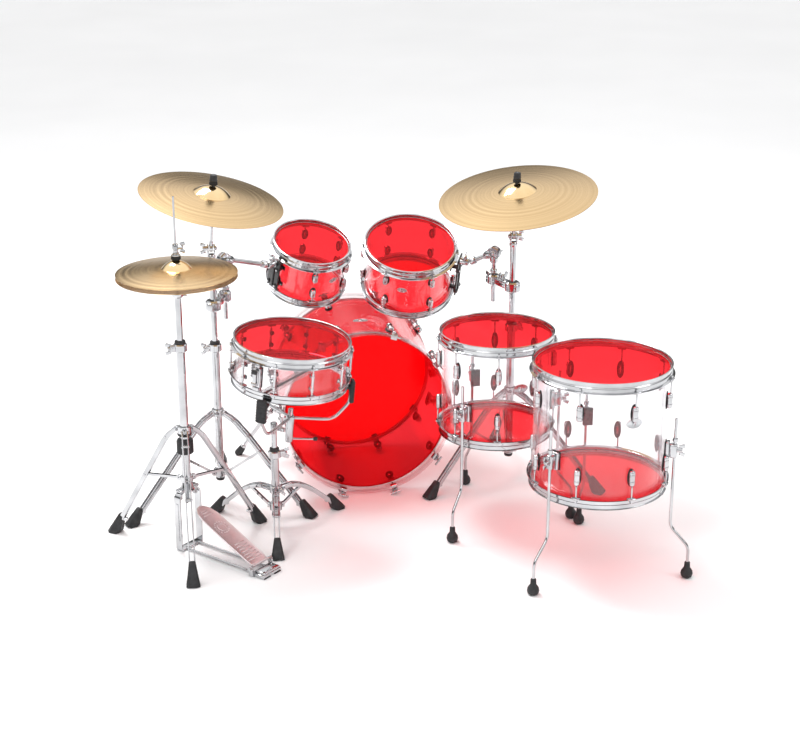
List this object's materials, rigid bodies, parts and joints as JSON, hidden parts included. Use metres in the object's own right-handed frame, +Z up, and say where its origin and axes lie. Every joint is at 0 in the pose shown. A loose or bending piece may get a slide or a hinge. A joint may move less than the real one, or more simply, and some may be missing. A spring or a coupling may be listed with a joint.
{
  "type": "acoustic drum kit",
  "caption": "Acoustic drum kit with clear acrylic shells, red heads, bass drum, rack and floor toms, snare, hi-hat, crash and ride cymbals on chrome double-braced stands.",
  "frame": {"origin": "on the floor, at the middle of the outline of the whole kit seen from above", "axes": "+X to the right hand of the drummer, +Y away from the drummer along the axis of the bass drum, +Z up"},
  "size_m": [1.7894, 1.3782, 1.155],
  "materials": {
    "acrylic": "clear cast acrylic, polished",
    "red_film": "translucent red film head",
    "steel": "bright chrome",
    "bronze": "lathed cymbal bronze"
  },
  "bodies": {
    "floor_set": {"bass_shell": "acrylic", "bass_batter_head": "red_film", "bass_batter_hoop": "acrylic", "bass_front_head": "red_film", "floor_tom_14_shell": "acrylic", "floor_tom_14_batter_head": "red_film", "floor_tom_14_batter_hoop": "steel", "floor_tom_14_bottom_head": "red_film", "floor_tom_16_shell": "acrylic", "floor_tom_16_batter_head": "red_film", "floor_tom_16_batter_hoop": "steel", "floor_tom_16_bottom_head": "red_film", "left_stand_base": "steel", "right_stand_base": "steel", "snare_stand_base": "steel", "hihat_stand_base": "steel"},
    "spur_left": {"bass_spur_left": "steel"},
    "spur_right": {"bass_spur_right": "steel"},
    "floor_14_leg_1": {"floor_tom_14_leg_1": "steel"},
    "floor_14_leg_2": {"floor_tom_14_leg_2": "steel"},
    "floor_14_leg_3": {"floor_tom_14_leg_3": "steel"},
    "floor_16_leg_1": {"floor_tom_16_leg_1": "steel"},
    "floor_16_leg_2": {"floor_tom_16_leg_2": "steel"},
    "floor_16_leg_3": {"floor_tom_16_leg_3": "steel"},
    "hat_tube": {"hihat_upper_tube": "steel", "hihat_bottom_cymbal": "bronze"},
    "hat_rod": {"hihat_pull_rod": "steel"},
    "hat_clutch": {"hihat_clutch": "steel", "hihat_top_cymbal": "bronze"},
    "hat_footboard": {"hihat_footboard": "steel"},
    "hat_collar": {"hihat_leg_collar": "steel"},
    "hat_leg_1": {"hihat_leg_1": "steel"},
    "hat_strut_1": {"hihat_strut_1": "steel"},
    "hat_leg_2": {"hihat_leg_2": "steel"},
    "hat_strut_2": {"hihat_strut_2": "steel"},
    "hat_leg_3": {"hihat_leg_3": "steel"},
    "hat_strut_3": {"hihat_strut_3": "steel"},
    "left_tube": {"left_stand_upper_tube": "steel"},
    "left_tilter": {"left_stand_tilter": "steel"},
    "crash": {"crash_cymbal": "bronze"},
    "left_arm": {"left_tom_arm": "steel"},
    "tom_10": {"tom_10_shell": "acrylic", "tom_10_batter_head": "red_film", "tom_10_batter_hoop": "steel", "tom_10_bottom_head": "red_film"},
    "right_tube": {"right_stand_upper_tube": "steel"},
    "right_tilter": {"right_stand_tilter": "steel"},
    "ride": {"ride_cymbal": "bronze"},
    "right_arm": {"right_tom_arm": "steel"},
    "tom_12": {"tom_12_shell": "acrylic", "tom_12_batter_head": "red_film", "tom_12_batter_hoop": "steel", "tom_12_bottom_head": "red_film"},
    "snare_tube": {"snare_stand_upper_tube": "steel"},
    "snare_drum": {"snare_basket": "steel", "snare_shell": "acrylic", "snare_batter_head": "red_film", "snare_batter_hoop": "steel", "snare_bottom_head": "red_film"},
    "snare_lever": {"snare_throw_off_lever": "steel"}
  },
  "joints": [
    {"name": "spur_left_fold", "type": "hinge", "parent": "floor_set", "child": "spur_left", "pos_m": [-0.31636, 0.51014, 0.19288], "axis": [-0.853, 0, 0.522], "range_deg": [0, 105]},
    {"name": "spur_right_fold", "type": "hinge", "parent": "floor_set", "child": "spur_right", "pos_m": [0.29992, 0.51014, 0.19288], "axis": [-0.853, 0, -0.522], "range_deg": [0, 105]},
    {"name": "floor_14_leg_1_height", "type": "slide", "parent": "floor_set", "child": "floor_14_leg_1", "axis": [0, 0, 1], "range_m": [0, 0.12]},
    {"name": "floor_14_leg_2_height", "type": "slide", "parent": "floor_set", "child": "floor_14_leg_2", "axis": [0, 0, 1], "range_m": [0, 0.012]},
    {"name": "floor_14_leg_3_height", "type": "slide", "parent": "floor_set", "child": "floor_14_leg_3", "axis": [0, 0, 1], "range_m": [0, 0.12]},
    {"name": "floor_16_leg_1_height", "type": "slide", "parent": "floor_set", "child": "floor_16_leg_1", "axis": [0, 0, 1], "range_m": [0, 0.12]},
    {"name": "floor_16_leg_2_height", "type": "slide", "parent": "floor_set", "child": "floor_16_leg_2", "axis": [0, 0, 1], "range_m": [0, 0.12]},
    {"name": "floor_16_leg_3_height", "type": "slide", "parent": "floor_set", "child": "floor_16_leg_3", "axis": [0, 0, 1], "range_m": [0, 0.12]},
    {"name": "hat_height", "type": "slide", "parent": "floor_set", "child": "hat_tube", "axis": [0, 0, 1], "range_m": [-0.1, 0]},
    {"name": "hat_close", "type": "slide", "parent": "floor_set", "child": "hat_rod", "axis": [0, 0, 1], "range_m": [-0.011, 0], "stiffness_N_per_m": 1500, "springref_m": 0.03},
    {"name": "clutch_height", "type": "slide", "parent": "hat_rod", "child": "hat_clutch", "axis": [0, 0, 1], "range_m": [0, 0.06]},
    {"name": "footboard", "type": "hinge", "parent": "floor_set", "child": "hat_footboard", "pos_m": [-0.42495, -0.35983, 0.03], "axis": [-0.7132, -0.7009, 0], "range_deg": [0, 2.6]},
    {"name": "leg_collar_slide", "type": "slide", "parent": "floor_set", "child": "hat_collar", "axis": [0, 0, 1], "range_m": [0, 0.15]},
    {"name": "leg_1_fold", "type": "hinge", "parent": "hat_collar", "child": "hat_leg_1", "pos_m": [-0.63522, -0.17386, 0.405], "axis": [1, 0, 0], "range_deg": [0, 20.3]},
    {"name": "strut_1_fold", "type": "hinge", "parent": "floor_set", "child": "hat_strut_1", "pos_m": [-0.63522, -0.17386, 0.237], "axis": [-1, 0, 0], "range_deg": [0, 68.5]},
    {"name": "leg_2_fold", "type": "hinge", "parent": "hat_collar", "child": "hat_leg_2", "pos_m": [-0.65897, -0.13102, 0.405], "axis": [-0.5299, -0.848, 0], "range_deg": [0, 20.3]},
    {"name": "strut_2_fold", "type": "hinge", "parent": "floor_set", "child": "hat_strut_2", "pos_m": [-0.65897, -0.13102, 0.237], "axis": [0.5299, 0.848, 0], "range_deg": [0, 68.5]},
    {"name": "leg_3_fold", "type": "hinge", "parent": "hat_collar", "child": "hat_leg_3", "pos_m": [-0.61148, -0.13102, 0.405], "axis": [-0.5299, 0.848, 0], "range_deg": [0, 20.3]},
    {"name": "strut_3_fold", "type": "hinge", "parent": "floor_set", "child": "hat_strut_3", "pos_m": [-0.61148, -0.13102, 0.237], "axis": [0.5299, -0.848, 0], "range_deg": [0, 68.5]},
    {"name": "left_stand_height", "type": "slide", "parent": "floor_set", "child": "left_tube", "axis": [0, 0, 1], "range_m": [0, 0.1]},
    {"name": "left_tilt", "type": "hinge", "parent": "left_tube", "child": "left_tilter", "pos_m": [-0.51522, 0.19114, 0.896], "axis": [1, 0, 0], "range_deg": [-25, 10]},
    {"name": "crash_spin", "type": "hinge", "parent": "left_tilter", "child": "crash", "pos_m": [-0.50878, 0.18453, 1.05925], "axis": [0.183, -0.132, 0.9742], "continuous": true},
    {"name": "left_arm_swivel", "type": "hinge", "parent": "left_tube", "child": "left_arm", "pos_m": [-0.47185, 0.28677, 0.83], "axis": [0, 0, 1], "range_deg": [0, 20]},
    {"name": "tom_10_tilt", "type": "hinge", "parent": "left_arm", "child": "tom_10", "pos_m": [-0.31635, 0.38751, 0.77394], "axis": [0.8033, 0.5204, -0.2896], "range_deg": [-4, 12]},
    {"name": "right_stand_height", "type": "slide", "parent": "floor_set", "child": "right_tube", "axis": [0, 0, 1], "range_m": [0, 0.1]},
    {"name": "right_tilt", "type": "hinge", "parent": "right_tube", "child": "right_tilter", "pos_m": [0.50178, 0.24014, 0.88], "axis": [1, 0, 0], "range_deg": [-25, 10]},
    {"name": "ride_spin", "type": "hinge", "parent": "right_tilter", "child": "ride", "pos_m": [0.51247, 0.23427, 1.01454], "axis": [-0.147, -0.143, 0.9787], "continuous": true},
    {"name": "right_arm_swivel", "type": "hinge", "parent": "right_tube", "child": "right_arm", "pos_m": [0.4574, 0.33531, 0.797], "axis": [0, 0, 1], "range_deg": [-20, 0]},
    {"name": "tom_12_tilt", "type": "hinge", "parent": "right_arm", "child": "tom_12", "pos_m": [0.3778, 0.38678, 0.75082], "axis": [0.7549, -0.4881, 0.438], "range_deg": [-4, 7]},
    {"name": "snare_height", "type": "slide", "parent": "floor_set", "child": "snare_tube", "axis": [0, 0, 1], "range_m": [-0.02, 0.08]},
    {"name": "snare_tilt", "type": "hinge", "parent": "snare_tube", "child": "snare_drum", "pos_m": [-0.30022, -0.08886, 0.352], "axis": [0.6919, -0.722, 0], "range_deg": [-8, 8]},
    {"name": "throw_off", "type": "hinge", "parent": "snare_drum", "child": "snare_lever", "pos_m": [-0.41936, -0.2547, 0.58343], "axis": [0.7728, -0.6263, -0.1024], "range_deg": [0, 75]}
  ],
  "couplings": [
    {"joint": "footboard", "follows": "hat_close", "rad_per_m": -3.97},
    {"joint": "leg_1_fold", "follows": "leg_collar_slide", "rad_per_m": 2.3375},
    {"joint": "strut_1_fold", "follows": "leg_collar_slide", "rad_per_m": 7.924},
    {"joint": "leg_2_fold", "follows": "leg_collar_slide", "rad_per_m": 2.3375},
    {"joint": "strut_2_fold", "follows": "leg_collar_slide", "rad_per_m": 7.924},
    {"joint": "leg_3_fold", "follows": "leg_collar_slide", "rad_per_m": 2.3375},
    {"joint": "strut_3_fold", "follows": "leg_collar_slide", "rad_per_m": 7.924}
  ]
}
